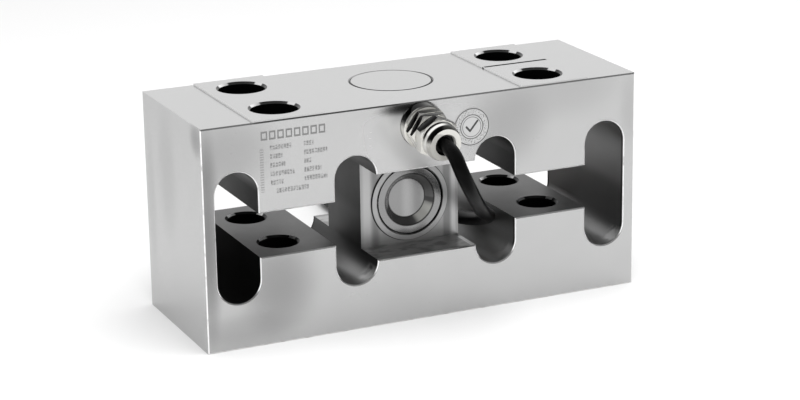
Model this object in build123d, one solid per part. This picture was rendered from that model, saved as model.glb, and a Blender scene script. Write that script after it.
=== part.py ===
"""Single point load cell: a slotted steel spring body with a gland, a cable and its inner parts.

Millimetres. X runs along the body, Y from the front face to the back, Z up. The origin is at the
middle of the bottom face. Each piece is one solid, or one group of like solids, in its own file.
"""

from build123d import *
import os
from math import cos, radians, sin, sqrt, tan

# Body block
BODY_LENGTH = 170.0
BODY_WIDTH = 60.0
BODY_HEIGHT = 81.5
EDGE_BREAK = 0.5

# Four upright slots with round ends, from the left end wall to the right one
SLOT_WIDTH = 16.0
SLOT_HEIGHT = 47.75
END_WALL = 4.5
BOLT_BLOCK_LENGTH = 29.0
BLOCK_GAP = 16.0

# Central gauge block, set back from both faces
POCKET_HEIGHT = SLOT_HEIGHT - SLOT_WIDTH
POCKET_DEPTH = 15.0

# Top pads and bolt holes, for M16 screws through the upper blocks into the lower ones
PAD_LENGTH = 27.0
PAD_RISE = 0.5
HOLE_SPACING_X = 104.0
HOLE_SPACING_Y = 31.5
CLEARANCE_RADIUS = 8.5
TAP_RADIUS = 7.0
HOLE_CHAMFER = 0.8
MARK_LINE_Y = 1.75
MARK_LINE_LENGTH = 26.0
MARK_LINE_WIDTH = 1.5
MARK_LINE_DEPTH = 0.4

# Gauge bores in the central block, and the dished covers that seal them
GAUGE_BORE_RADIUS = 11.5
WEB_THICKNESS = 7.0
COVER_FLANGE_RADIUS = 12.8
COVER_SEAT_DEPTH = 0.8
COVER_THICKNESS = 0.8
COVER_PROUD = 0.3
COVER_DISH_RADIUS = 7.3
COVER_DISH_MOUTH = 9.8
COVER_DISH_DEPTH = 3.0
COLLAR_RADIUS = 15.2
COLLAR_RISE = 0.6
WELD_GAP = 0.3

# Wiring cavity under the top disc
CAVITY_X = 1.0
CAVITY_Y = 2.0
CAVITY_RADIUS = 13.0
CAVITY_DEPTH = 14.0
DISC_RADIUS = 15.0
DISC_THICKNESS = 2.0
DISC_CHAMFER = 0.35
WIRE_BORE_RADIUS = 2.6
WIRE_BORE_Y = 7.6

# Strain gauges and terminal strips on the web
GAUGE_LENGTH = 8.0
GAUGE_WIDTH = 4.0
GAUGE_THICKNESS = 0.15
GAUGE_ANGLE = 45.0
GAUGE_OFFSET = 4.6
STRIP_LENGTH = 8.0
STRIP_WIDTH = 3.0
STRIP_THICKNESS = 0.8
STRIP_DROP = 7.2

# Board in the cavity
BOARD_RADIUS = 12.0
BOARD_THICKNESS = 1.6
BOARD_PAD_THICKNESS = 1.0
BOARD_SLOT_WIDTH = 6.4
BOARD_SLOT_DEPTH = 7.4
RESISTOR_LENGTH = 3.2
RESISTOR_WIDTH = 1.6
RESISTOR_HEIGHT = 0.7
RESISTOR_PITCH = 3.2
RESISTOR_COUNT = 4
POST_RADIUS = 0.6
POST_HEIGHT = 1.6
POST_PITCH = 2.4
POST_ROW_X = 9.0
WIRE_RADIUS = 0.35
WIRE_PITCH = 1.0
WIRE_COUNT = 4

# Gland, on a seat that leans down from the front face
GLAND_X = -1.7
GLAND_DROP = 8.5
GLAND_TILT = 8.0
GLAND_SEAT_DEPTH = 1.3
GLAND_SEAT_RADIUS = 8.35
PORT_THREAD_RADIUS = 5.0
PORT_THREAD_LENGTH = 9.0
PORT_BORE_RADIUS = 3.6
SEAL_RING_RADIUS = 6.5
SEAL_RING_THICKNESS = 1.0
FLANGE_RADIUS = 8.2
FLANGE_LENGTH = 3.7
HEX_ACROSS_FLATS = 14.0
BODY_HEX_LENGTH = 6.2
BODY_HEX_GROOVE = 0.35
NUT_HEX_TURN = 35.0
NUT_GAP = 0.8
NUT_HEX_LENGTH = 4.0
DOME_RADIUS = 6.8
DOME_SHOULDER_RADIUS = 6.6
DOME_LENGTH = 5.6
DOME_FACE_RADIUS = 5.9
DOME_ROUND = 1.2
MOUTH_RADIUS = 3.5
MOUTH_LENGTH = 1.6
NOSE_RADIUS = 5.9
NOSE_LENGTH = 5.2
NOSE_SOCKET_RADIUS = 5.0
NOSE_SOCKET_DEPTH = 4.8
CLAW_THICKNESS = 0.7
CLAW_REACH = 2.4
CLAW_SLITS = 6
CLAW_SLIT_WIDTH = 0.8
SPIGOT_LENGTH = 8.0
SPIGOT_BORE_RADIUS = 3.1
GLAND_PLAY = 0.1

# Cable, 1.5 m long, its hank of turns and its far end
CABLE_RADIUS = 2.6
CABLE_TAIL_LENGTH = 36.0
HANK_X = 46.0
HANK_Y = 88.0
HANK_STRAIGHT = 41.0
HANK_MEAN_RADIUS = 21.0
HANK_TURNS_WIDE = 3
HANK_TURNS_HIGH = 2
HANK_PITCH = 5.3
HANK_ROUND = 2.4
TIE_WIDTH = 3.6
TIE_THICKNESS = 1.0
TIE_CLEARANCE = 0.15
TIE_HEAD = 4.6
END_CLEARANCE = 0.05
SLEEVE_START_Y = 96.0
SLEEVE_LENGTH = 12.0
SLEEVE_WALL = 0.6
SHEATH_END_Y = 90.0
LEAD_RADIUS = 0.7
LEAD_LENGTH = 26.0
LEAD_CIRCLE = 1.5
LEAD_SPREAD = 3.2
SCREEN_RADIUS = 0.5

# Inspection sticker on the front face
STICKER_X = 18.0
STICKER_DROP = 12.0
STICKER_RADIUS = 7.0
STICKER_THICKNESS = 0.12

# Places worked out from the sizes above
FRONT_Y = -BODY_WIDTH / 2
BACK_Y = BODY_WIDTH / 2
MIDDLE_Z = BODY_HEIGHT / 2
SLOT_STEP = SLOT_WIDTH + BOLT_BLOCK_LENGTH
OUTER_SLOT_X = BODY_LENGTH / 2 - END_WALL - SLOT_WIDTH / 2
INNER_SLOT_X = OUTER_SLOT_X - SLOT_STEP
HOLE_X = HOLE_SPACING_X / 2
CORE_FACE_Y = BODY_WIDTH / 2 - POCKET_DEPTH
WEB_FACE_Y = WEB_THICKNESS / 2
CAVITY_FLOOR_Z = BODY_HEIGHT - CAVITY_DEPTH
DISC_FLOOR_Z = BODY_HEIGHT - DISC_THICKNESS
BOARD_Z = CAVITY_FLOOR_Z + BOARD_PAD_THICKNESS
BOARD_TOP_Z = BOARD_Z + BOARD_THICKNESS

# The gland's own frame: its Z axis points out of the body along the cable, its origin is on the seat
LEAN = radians(GLAND_TILT)
OUTWARD = Vector(0, -cos(LEAN), -sin(LEAN))
SEAT_POINT = Vector(GLAND_X, FRONT_Y, BODY_HEIGHT - GLAND_DROP) - OUTWARD * GLAND_SEAT_DEPTH
GLAND = Location(Plane(origin=SEAT_POINT, x_dir=(1, 0, 0), z_dir=OUTWARD))

# Stations along the gland, counted outwards from its seat
FLANGE_AT = SEAL_RING_THICKNESS
BODY_HEX_AT = FLANGE_AT + FLANGE_LENGTH
BODY_END = BODY_HEX_AT + BODY_HEX_LENGTH
NUT_AT = BODY_END + NUT_GAP
NUT_HEX_END = NUT_AT + NUT_HEX_LENGTH
NUT_END = NUT_HEX_END + DOME_LENGTH
MOUTH_AT = NUT_END - MOUTH_LENGTH
NOSE_END = BODY_END + NOSE_LENGTH
SOCKET_FLOOR = NOSE_END - NOSE_SOCKET_DEPTH
CLAW_END = NOSE_END + CLAW_REACH
SEAL_END = MOUTH_AT - GLAND_PLAY
CABLE_EXIT_AT = SEAL_END
CABLE_EXIT = SEAT_POINT + OUTWARD * CABLE_EXIT_AT
CABLE_TAIL_START = CABLE_EXIT_AT - CABLE_TAIL_LENGTH

HANK_HALF_WIDTH = HANK_TURNS_WIDE * HANK_PITCH / 2
HANK_OUTER_RADIUS = HANK_MEAN_RADIUS + HANK_HALF_WIDTH
HANK_INNER_RADIUS = HANK_MEAN_RADIUS - HANK_HALF_WIDTH
HANK_HEIGHT = HANK_TURNS_HIGH * HANK_PITCH
HANK_BOTTOM = TIE_THICKNESS + TIE_CLEARANCE
HANK_TOP = HANK_BOTTOM + HANK_HEIGHT
END_X = HANK_X + HANK_MEAN_RADIUS - HANK_PITCH
END_Z = HANK_TOP + TIE_CLEARANCE + TIE_THICKNESS + CABLE_RADIUS + SLEEVE_WALL

# The cable's route: out of the gland, down, and back through the third slot into the hank
CABLE_ROUTE = [
    tuple(CABLE_EXIT),
    tuple(CABLE_EXIT + OUTWARD * 7.8),
    (-1.0, -60.6, 63.0),
    (3.1, -58.6, 56.0),
    (10.2, -49.2, 47.6),
    (19.0, -37.0, 39.0),
    (29.6, -22.0, 32.0),
    (31.0, -4.2, 25.6),
    (28.4, 13.6, 23.0),
    (26.8, 31.0, 22.0),
    (21.8, 44.0, 17.0),
    (16.6, 56.4, 10.6),
    (14.2, 69.2, 5.4),
    (16.4, 81.6, 3.9),
    (20.0, 93.0, 3.9),
]

# The cable's end: up out of the hank's left side, over its back bend, and along its right side
CABLE_END_ROUTE = [
    (19.9, 82.0, 9.0),
    (20.0, 92.0, 11.4),
    (21.2, 101.2, 14.4),
    (24.9, 111.2, END_Z),
    (31.2, 120.8, END_Z),
    (40.9, 126.4, END_Z),
    (51.8, 126.0, END_Z),
    (59.8, 119.6, END_Z),
    (62.5, 109.8, END_Z),
    (END_X, 100.4, END_Z),
    (END_X, SHEATH_END_Y, END_Z),
]


def radii_for(points):
    """Give each inner corner the largest arc that its two runs allow."""
    places = [Vector(*point) for point in points]
    radii = []
    for before, here, after in zip(places, places[1:], places[2:]):
        half_turn = radians((here - before).get_angle(after - here)) / 2
        shorter = min((here - before).length, (after - here).length)
        radii.append(0.45 * shorter / tan(half_turn))
    return radii


def tube(points, radius, radii=None):
    """Sweep a round section along straight runs joined by tangent arcs."""
    path = FilletPolyline(*points, radius=radii or radii_for(points))
    return sweep(Plane(origin=path @ 0, z_dir=path % 0) * Circle(radius), path=path)


def upright_cylinder(x, y, bottom, top, radius):
    """Make a cylinder along Z between two heights."""
    return Location((x, y, bottom)) * extrude(Circle(radius), top - bottom)


def front_cylinder(y_from, y_to, radius, x=0.0, z=MIDDLE_Z):
    """Make a cylinder along Y between two depths."""
    start = Plane(origin=(x, y_from, z), x_dir=(1, 0, 0), z_dir=(0, 1, 0))
    return extrude(start * Circle(radius), y_to - y_from)


def hexagon(across_flats, at, length, turn=0.0):
    """Make a hexagon bar along the gland's axis, with its outer corners turned off."""
    corner = across_flats / sqrt(3)
    bar = Location((0, 0, at)) * extrude(
        Rot(0, 0, turn) * RegularPolygon(corner, 6), length
    )
    drop = (corner - across_flats / 2) * tan(radians(30))
    turned = Polyline(
        (0, at),
        (across_flats / 2 * 0.985, at),
        (corner, at + drop * 1.1),
        (corner, at + length - drop * 1.1),
        (across_flats / 2 * 0.985, at + length),
        (0, at + length),
        close=True,
    )
    envelope = revolve(Plane.XZ * make_face(turned), Axis.Z)
    return bar & envelope


def turned_piece(points):
    """Revolve a half section, given as radius and height, about Z."""
    return revolve(Plane.XZ * make_face(Polyline(*points, close=True)), Axis.Z)


def slotted_block():
    """Cut the body's outline, slots and block gaps, then set the central block back."""
    outline = Rectangle(BODY_LENGTH, BODY_HEIGHT)
    stadium = Rot(0, 0, 90) * SlotOverall(SLOT_HEIGHT, SLOT_WIDTH)
    for x in (-OUTER_SLOT_X, -INNER_SLOT_X, INNER_SLOT_X, OUTER_SLOT_X):
        outline -= Pos(x, 0) * stadium
    for side in (-1, 1):
        middle = side * (OUTER_SLOT_X + INNER_SLOT_X) / 2
        outline -= Pos(middle, 0) * Rectangle(SLOT_STEP, BLOCK_GAP)
    front = Plane(origin=(0, BACK_Y, MIDDLE_Z), x_dir=(1, 0, 0), z_dir=(0, -1, 0))
    block = extrude(front * outline, BODY_WIDTH)
    pocket = Box(2 * INNER_SLOT_X, POCKET_DEPTH, POCKET_HEIGHT)
    for side in (-1, 1):
        block -= Pos(0, side * (BODY_WIDTH - POCKET_DEPTH) / 2, MIDDLE_Z) * pocket
    return block


def broken_edges(block):
    """Break the edges of the front and back faces."""
    edges = [
        edge
        for edge in block.edges()
        if abs(abs(edge.center().Y) - BACK_Y) < 0.01
        and abs(edge.bounding_box().size.Y) < 0.01
    ]
    return chamfer(edges, EDGE_BREAK)


def bolt_holes():
    """Drill the clearance holes above and the tapped holes below, each with its chamfer."""
    top = BODY_HEIGHT + PAD_RISE
    lower_block_top = MIDDLE_Z - BLOCK_GAP / 2
    clearance = turned_piece(
        [
            (0, lower_block_top + 1),
            (CLEARANCE_RADIUS, lower_block_top + 1),
            (CLEARANCE_RADIUS, top - HOLE_CHAMFER),
            (CLEARANCE_RADIUS + HOLE_CHAMFER + 1, top + 1),
            (0, top + 1),
        ]
    )
    tapped = turned_piece(
        [
            (0, -1),
            (TAP_RADIUS + HOLE_CHAMFER + 1, -1),
            (TAP_RADIUS, HOLE_CHAMFER),
            (TAP_RADIUS, lower_block_top - HOLE_CHAMFER),
            (TAP_RADIUS + HOLE_CHAMFER + 1, lower_block_top + 1),
            (0, lower_block_top + 1),
        ]
    )
    hole = clearance + tapped
    return [
        Pos(x, y, 0) * hole
        for x in (-HOLE_X, HOLE_X)
        for y in (-HOLE_SPACING_Y / 2, HOLE_SPACING_Y / 2)
    ]


def gland_port():
    """Cut the leaning seat, the tapped hole and the bore into the cavity."""
    reach = GLAND_SEAT_DEPTH + 2 * GLAND_SEAT_RADIUS * tan(LEAN) + 2
    seat = extrude(Circle(GLAND_SEAT_RADIUS), reach)
    thread = Location((0, 0, -PORT_THREAD_LENGTH)) * extrude(
        Circle(PORT_THREAD_RADIUS), PORT_THREAD_LENGTH
    )
    inner_length = BODY_WIDTH / 2 + CAVITY_Y - GLAND_SEAT_DEPTH
    bore = Location((0, 0, -inner_length)) * extrude(Circle(PORT_BORE_RADIUS), inner_length)
    return GLAND * (seat + thread + bore)


def make_body():
    """Make the spring body with its pads, holes, bores, cavity and port."""
    body = broken_edges(slotted_block())
    for side in (-1, 1):
        pad = Box(PAD_LENGTH, BODY_WIDTH - 2 * EDGE_BREAK, PAD_RISE + EDGE_BREAK)
        body += Pos(side * HOLE_X, 0, BODY_HEIGHT + (PAD_RISE - EDGE_BREAK) / 2) * pad
        collar = front_cylinder(CORE_FACE_Y - 0.5, CORE_FACE_Y + COLLAR_RISE, COLLAR_RADIUS)
        body += collar if side > 0 else mirror(collar, Plane.XZ)
    for hole in bolt_holes():
        body -= hole
    line = Box(MARK_LINE_LENGTH, MARK_LINE_WIDTH, MARK_LINE_DEPTH * 2)
    body -= Pos(HOLE_X, MARK_LINE_Y, BODY_HEIGHT + PAD_RISE) * line
    bore = front_cylinder(WEB_FACE_Y, CORE_FACE_Y + COLLAR_RISE + 1, GAUGE_BORE_RADIUS)
    seat_radius = COVER_FLANGE_RADIUS + WELD_GAP
    bore += front_cylinder(
        CORE_FACE_Y - COVER_SEAT_DEPTH, CORE_FACE_Y + COLLAR_RISE + 1, seat_radius
    )
    body -= bore
    body -= mirror(bore, Plane.XZ)
    for side in (-1, 1):
        body -= upright_cylinder(
            CAVITY_X, side * WIRE_BORE_Y, MIDDLE_Z, CAVITY_FLOOR_Z + 1, WIRE_BORE_RADIUS
        )
    body -= upright_cylinder(
        CAVITY_X, CAVITY_Y, CAVITY_FLOOR_Z, BODY_HEIGHT + 1, CAVITY_RADIUS
    )
    rim = DISC_RADIUS + WELD_GAP / 2
    seat = turned_piece(
        [
            (0, DISC_FLOOR_Z),
            (rim, DISC_FLOOR_Z),
            (rim, BODY_HEIGHT - DISC_CHAMFER),
            (rim + DISC_CHAMFER + 1, BODY_HEIGHT + 1),
            (0, BODY_HEIGHT + 1),
        ]
    )
    body -= Pos(CAVITY_X, CAVITY_Y, 0) * seat
    return body - gland_port()


def make_gauge_cover():
    """Press the dished cover from sheet, as a ring, a cone and a flat centre."""
    sheet = COVER_THICKNESS
    deep = -COVER_DISH_DEPTH
    section = [
        (0, deep),
        (COVER_DISH_RADIUS, deep),
        (COVER_DISH_MOUTH, 0),
        (COVER_FLANGE_RADIUS - 0.3, 0),
        (COVER_FLANGE_RADIUS, -0.3),
        (COVER_FLANGE_RADIUS, -sheet - COVER_PROUD),
        (COVER_DISH_MOUTH + sheet, -sheet - COVER_PROUD),
        (COVER_DISH_RADIUS + sheet * 0.75, deep - sheet),
        (0, deep - sheet),
    ]
    cover = turned_piece(section)
    out = Plane(
        origin=(0, CORE_FACE_Y + COVER_PROUD, MIDDLE_Z), x_dir=(1, 0, 0), z_dir=(0, 1, 0)
    )
    return Location(out) * cover


def make_disc():
    """Make the flush disc that closes the wiring cavity."""
    disc = upright_cylinder(CAVITY_X, CAVITY_Y, DISC_FLOOR_Z, BODY_HEIGHT, DISC_RADIUS)
    rim = disc.faces().sort_by(Axis.Z)[-1].edges()
    return chamfer(rim, DISC_CHAMFER)


def make_gauge(side, lean):
    """Bond one foil gauge to the back half's web face, leaning one way or the other."""
    foil = Rot(0, lean * GAUGE_ANGLE, 0) * Box(GAUGE_LENGTH, GAUGE_THICKNESS, GAUGE_WIDTH)
    y = WEB_FACE_Y + GAUGE_THICKNESS / 2
    return Pos(lean * GAUGE_OFFSET, side * y, MIDDLE_Z + 1.0) * foil


def make_strip(side):
    """Bond a terminal strip below the gauges."""
    y = WEB_FACE_Y + STRIP_THICKNESS / 2
    strip = Box(STRIP_LENGTH, STRIP_THICKNESS, STRIP_WIDTH)
    return Pos(0, side * y, MIDDLE_Z - STRIP_DROP) * strip


def wire_offsets():
    """Give the places of the wires about the middle of their bundle."""
    return [(number - (WIRE_COUNT - 1) / 2) * WIRE_PITCH for number in range(WIRE_COUNT)]


def make_bridge_wires(side):
    """Run the wires from a terminal strip up the wire bore to the board's posts."""
    wires = []
    strip_face = WEB_FACE_Y + STRIP_THICKNESS + WIRE_RADIUS
    for offset in wire_offsets():
        x = CAVITY_X + offset
        y = WIRE_BORE_Y
        points = [
            (offset * 1.6, side * strip_face, MIDDLE_Z - STRIP_DROP + 0.5),
            (x, side * y, MIDDLE_Z + 5.5),
            (x, side * y, BOARD_TOP_Z + 1.7),
            (x, side * (y - 3.2), BOARD_TOP_Z + 0.5),
        ]
        wires.append(tube(points, WIRE_RADIUS, [3.0, 0.6]))
    return Compound(children=wires)


def board_outline():
    """Draw the round board with an open slot over each wire bore."""
    outline = Circle(BOARD_RADIUS)
    for side in (-1, 1):
        inner = side * WIRE_BORE_Y - CAVITY_Y - side * WIRE_BORE_RADIUS
        middle = inner + side * BOARD_SLOT_DEPTH / 2
        outline -= Pos(0, middle) * Rectangle(BOARD_SLOT_WIDTH, BOARD_SLOT_DEPTH)
    return outline


def make_board():
    """Make the compensation board."""
    return Pos(CAVITY_X, CAVITY_Y, BOARD_Z) * extrude(board_outline(), BOARD_THICKNESS)


def make_board_pad():
    """Make the adhesive pad that holds the board to the cavity's floor."""
    return Pos(CAVITY_X, CAVITY_Y, CAVITY_FLOOR_Z) * extrude(
        board_outline(), BOARD_PAD_THICKNESS
    )


def make_resistors():
    """Place the trim resistors in a row across the board."""
    chips = []
    for number in range(RESISTOR_COUNT):
        x = CAVITY_X + (number - (RESISTOR_COUNT - 1) / 2) * RESISTOR_PITCH
        z = BOARD_TOP_Z + RESISTOR_HEIGHT / 2
        chip = Box(RESISTOR_WIDTH, RESISTOR_LENGTH, RESISTOR_HEIGHT)
        chips.append(Pos(x, CAVITY_Y, z) * chip)
    return Compound(children=chips)


def post_places():
    """Give the places of the solder posts, in a row at each side of the board."""
    return [
        (CAVITY_X + side * POST_ROW_X, CAVITY_Y + (row - 1) * POST_PITCH)
        for side in (-1, 1)
        for row in range(3)
    ]


def make_posts():
    """Stand the solder posts on the board."""
    posts = [
        upright_cylinder(x, y, BOARD_TOP_Z, BOARD_TOP_Z + POST_HEIGHT, POST_RADIUS)
        for x, y in post_places()
    ]
    return Compound(children=posts)


def make_seal_ring():
    """Make the ring that seals the gland to its seat."""
    ring = extrude(
        Circle(SEAL_RING_RADIUS) - Circle(PORT_THREAD_RADIUS + GLAND_PLAY), SEAL_RING_THICKNESS
    )
    return GLAND * ring


def make_gland_body():
    """Make the gland's body: spigot, flange, grooved hexagon and nose with its socket."""
    spigot = PORT_THREAD_RADIUS - GLAND_PLAY
    body = Location((0, 0, -SPIGOT_LENGTH)) * extrude(
        Circle(spigot), SPIGOT_LENGTH + SEAL_RING_THICKNESS
    )
    flange = Location((0, 0, FLANGE_AT)) * extrude(Circle(FLANGE_RADIUS), FLANGE_LENGTH)
    body += chamfer(flange.edges().group_by(Axis.Z)[-1], 0.5)
    body += hexagon(HEX_ACROSS_FLATS, BODY_HEX_AT, BODY_HEX_LENGTH)
    groove_at = BODY_HEX_AT + BODY_HEX_LENGTH / 2
    groove = extrude(
        Circle(HEX_ACROSS_FLATS) - Circle(HEX_ACROSS_FLATS / 2 - BODY_HEX_GROOVE),
        BODY_HEX_GROOVE,
    )
    body -= Location((0, 0, groove_at)) * groove
    body += Location((0, 0, BODY_END)) * extrude(Circle(NOSE_RADIUS), NOSE_LENGTH)
    body -= Location((0, 0, -SPIGOT_LENGTH)) * extrude(
        Circle(SPIGOT_BORE_RADIUS), SPIGOT_LENGTH + NOSE_END
    )
    body -= Location((0, 0, SOCKET_FLOOR)) * extrude(
        Circle(NOSE_SOCKET_RADIUS), NOSE_SOCKET_DEPTH
    )
    return GLAND * body


def make_cap_nut():
    """Make the cap nut: hexagon, neck, rounded dome and the open mouth."""
    nut = hexagon(HEX_ACROSS_FLATS, NUT_AT, NUT_HEX_LENGTH, NUT_HEX_TURN)
    shoulder_at = NUT_END - 1.5
    dome = turned_piece(
        [
            (0, NUT_HEX_END),
            (DOME_RADIUS, NUT_HEX_END),
            (DOME_SHOULDER_RADIUS, shoulder_at),
            (DOME_FACE_RADIUS, NUT_END),
            (0, NUT_END),
        ]
    )
    shoulder = [edge for edge in dome.edges() if abs(edge.center().Z - shoulder_at) < 0.1]
    nut += fillet(shoulder, DOME_ROUND)
    throat = NOSE_RADIUS + GLAND_PLAY
    hollow = turned_piece(
        [
            (0, NUT_AT),
            (throat, NUT_AT),
            (throat, NOSE_END + 0.4),
            (MOUTH_RADIUS + 0.5, MOUTH_AT),
            (MOUTH_RADIUS, MOUTH_AT),
            (MOUTH_RADIUS, NUT_END - 0.6),
            (MOUTH_RADIUS + 0.5, NUT_END + 0.1),
            (0, NUT_END + 0.1),
        ]
    )
    return GLAND * (nut - hollow)


def claw_radius():
    """Give the outer radius of the clamping claw in its socket."""
    return NOSE_SOCKET_RADIUS - GLAND_PLAY


def make_claw():
    """Make the clamping claw, a ring with slits between its fingers."""
    outer = claw_radius()
    tip = outer - CLAW_REACH * 0.35
    inner = outer - CLAW_THICKNESS
    claw = turned_piece(
        [
            (inner, SOCKET_FLOOR),
            (outer, SOCKET_FLOOR),
            (outer, NOSE_END),
            (tip, CLAW_END),
            (tip - CLAW_THICKNESS, CLAW_END),
            (inner, NOSE_END),
        ]
    )
    cut_from = SOCKET_FLOOR + 1.2
    slit = Box(4 * outer, CLAW_SLIT_WIDTH, CLAW_END - cut_from + 1)
    slit = Location((2 * outer, 0, (CLAW_END + cut_from + 1) / 2)) * slit
    for number in range(CLAW_SLITS):
        claw -= Rot(0, 0, number * 360 / CLAW_SLITS) * slit
    return GLAND * claw


def make_seal():
    """Make the rubber seal that grips the cable inside the claw."""
    inner = claw_radius() - CLAW_THICKNESS - GLAND_PLAY
    tip = inner - CLAW_REACH * 0.35
    end_radius = MOUTH_RADIUS + 0.3
    seal = turned_piece(
        [
            (CABLE_RADIUS, SOCKET_FLOOR),
            (inner, SOCKET_FLOOR),
            (inner, NOSE_END),
            (min(tip, inner), CLAW_END),
            (min(tip, end_radius), SEAL_END),
            (CABLE_RADIUS, SEAL_END),
        ]
    )
    return GLAND * seal


def make_cable_tail():
    """Make the cable's end inside the gland and the port."""
    return GLAND * Location((0, 0, CABLE_TAIL_START)) * extrude(
        Circle(CABLE_RADIUS), CABLE_TAIL_LENGTH
    )


def make_inner_wires():
    """Lead the conductors from the cable's end to the board's posts."""
    start = SEAT_POINT + OUTWARD * CABLE_TAIL_START
    wires = []
    ends = sorted(place for place in post_places() if place[1] < CAVITY_Y + POST_PITCH / 2)
    for number, (x, y) in enumerate(ends):
        first = start + Vector((number - (WIRE_COUNT - 1) / 2) * WIRE_PITCH, 0, 0)
        second = first - OUTWARD * 2.0
        end = Vector(x, y, BOARD_TOP_Z + POST_HEIGHT + WIRE_RADIUS + 0.1)
        third = Vector(first.X + (x - first.X) * 0.6, second.Y + (y - second.Y) * 0.5, second.Z)
        wires.append(tube([first, second, third, end], WIRE_RADIUS, [0.8, 0.8]))
    return Compound(children=wires)


def make_hank():
    """Make the outer shape of the hank: a long bundle of turns lying on its ties."""
    outer, inner = 2 * HANK_OUTER_RADIUS, 2 * HANK_INNER_RADIUS
    outline = SlotOverall(HANK_STRAIGHT + outer, outer) - SlotOverall(HANK_STRAIGHT + inner, inner)
    hank = extrude(Rot(0, 0, 90) * outline, HANK_HEIGHT)
    flat = [edge for edge in hank.edges() if edge.bounding_box().size.Z < 0.01]
    return Pos(HANK_X, HANK_Y, HANK_BOTTOM) * fillet(flat, HANK_ROUND)


def make_cable(hank):
    """Sweep the free cable from the gland to the hank, and end it on the hank's face."""
    return tube(CABLE_ROUTE, CABLE_RADIUS) - hank


def make_cable_end(hank):
    """Sweep the cable's end, from the hank's face to the cut end of its sheath."""
    return tube(CABLE_END_ROUTE, CABLE_RADIUS) - hank


def make_tie():
    """Make a flat tie round the bundle, which runs along Y, with its head on the left side."""
    width = 2 * (HANK_HALF_WIDTH + TIE_CLEARANCE)
    height = HANK_HEIGHT + 2 * TIE_CLEARANCE
    outer = RectangleRounded(width + 2 * TIE_THICKNESS, height + 2 * TIE_THICKNESS, HANK_ROUND)
    inner = RectangleRounded(width, height, HANK_ROUND * 0.8)
    tie = extrude(Plane.XZ * (outer - inner), TIE_WIDTH / 2, both=True)
    head_x = -(width + TIE_THICKNESS + TIE_HEAD) / 2
    head = Pos(head_x, 0, 0) * Box(TIE_HEAD * 0.7, TIE_HEAD, TIE_HEAD)
    tie += Pos(TIE_HEAD * 0.15 + TIE_THICKNESS / 2 - 0.1, 0, 0) * head
    return Pos(0, 0, HANK_BOTTOM + HANK_HEIGHT / 2) * tie


def make_bend_tie(side):
    """Put a tie on the hank's front or back bend, with its head in the hank's hollow."""
    middle_y = HANK_Y + side * (HANK_STRAIGHT / 2 + HANK_MEAN_RADIUS)
    return Pos(HANK_X, middle_y, 0) * (Rot(0, 0, side * 90) * make_tie())


def make_sleeve():
    """Shrink a sleeve over the end of the cable's sheath."""
    ring = Circle(CABLE_RADIUS + SLEEVE_WALL) - Circle(CABLE_RADIUS)
    start = Plane(origin=(END_X, SLEEVE_START_Y, END_Z), x_dir=(1, 0, 0), z_dir=(0, -1, 0))
    return extrude(start * ring, SLEEVE_LENGTH)


def make_lead(side_step, height_step, spread, radius):
    """Lay one stripped lead: straight through the sleeve, then down onto the hank."""
    x = END_X + side_step
    z = END_Z + height_step
    low = HANK_TOP + radius + END_CLEARANCE
    sleeve_end = SLEEVE_START_Y - SLEEVE_LENGTH
    last = SHEATH_END_Y - LEAD_LENGTH
    points = [
        (x, SHEATH_END_Y, z),
        (x, sleeve_end - 0.8, z),
        (END_X + spread, (sleeve_end + last) / 2 - 1.0, low),
        (END_X + spread * 1.1, last, low),
    ]
    return tube(points, radius)


def make_leads():
    """Make the four conductors, two over two, and the screen wire between them."""
    step = LEAD_CIRCLE / sqrt(2)
    places = {
        "lead_red": (-step, step, -2 * LEAD_SPREAD, LEAD_RADIUS),
        "lead_black": (-step, -step, -LEAD_SPREAD, LEAD_RADIUS),
        "lead_green": (step, -step, LEAD_SPREAD, LEAD_RADIUS),
        "lead_white": (step, step, 2 * LEAD_SPREAD, LEAD_RADIUS),
        "screen_wire": (0.0, 0.0, 0.3, SCREEN_RADIUS),
    }
    return {name: make_lead(*place) for name, place in places.items()}


def make_sticker():
    """Make the thin round sticker on the front face."""
    return front_cylinder(
        FRONT_Y - STICKER_THICKNESS, FRONT_Y, STICKER_RADIUS, STICKER_X, BODY_HEIGHT - STICKER_DROP
    )


def all_parts():
    """Build every piece and name it."""
    rear_cover = make_gauge_cover()
    hank = make_hank()
    parts = {
        "load_cell_body": make_body(),
        "front_gauge_cover": mirror(rear_cover, Plane.XZ),
        "rear_gauge_cover": rear_cover,
        "top_cavity_cover": make_disc(),
        "front_terminal_strip": make_strip(-1),
        "rear_terminal_strip": make_strip(1),
        "front_bridge_wires": make_bridge_wires(-1),
        "rear_bridge_wires": make_bridge_wires(1),
        "compensation_board": make_board(),
        "board_adhesive_pad": make_board_pad(),
        "trim_resistors": make_resistors(),
        "solder_posts": make_posts(),
        "gland_seal_ring": make_seal_ring(),
        "gland_body": make_gland_body(),
        "gland_clamping_claw": make_claw(),
        "gland_rubber_seal": make_seal(),
        "gland_cap_nut": make_cap_nut(),
        "cable_tail": make_cable_tail(),
        "inner_wires": make_inner_wires(),
        "sensor_cable": make_cable(hank),
        "cable_hank": hank,
        "cable_end": make_cable_end(hank),
        "cable_end_sleeve": make_sleeve(),
        "hank_front_tie": make_bend_tie(-1),
        "hank_back_tie": make_bend_tie(1),
        "inspection_sticker": make_sticker(),
    }
    for side, side_name in ((-1, "front"), (1, "rear")):
        for lean, lean_name in ((-1, "left"), (1, "right")):
            parts[f"{side_name}_strain_gauge_{lean_name}"] = make_gauge(side, lean)
    return parts | make_leads()


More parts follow.
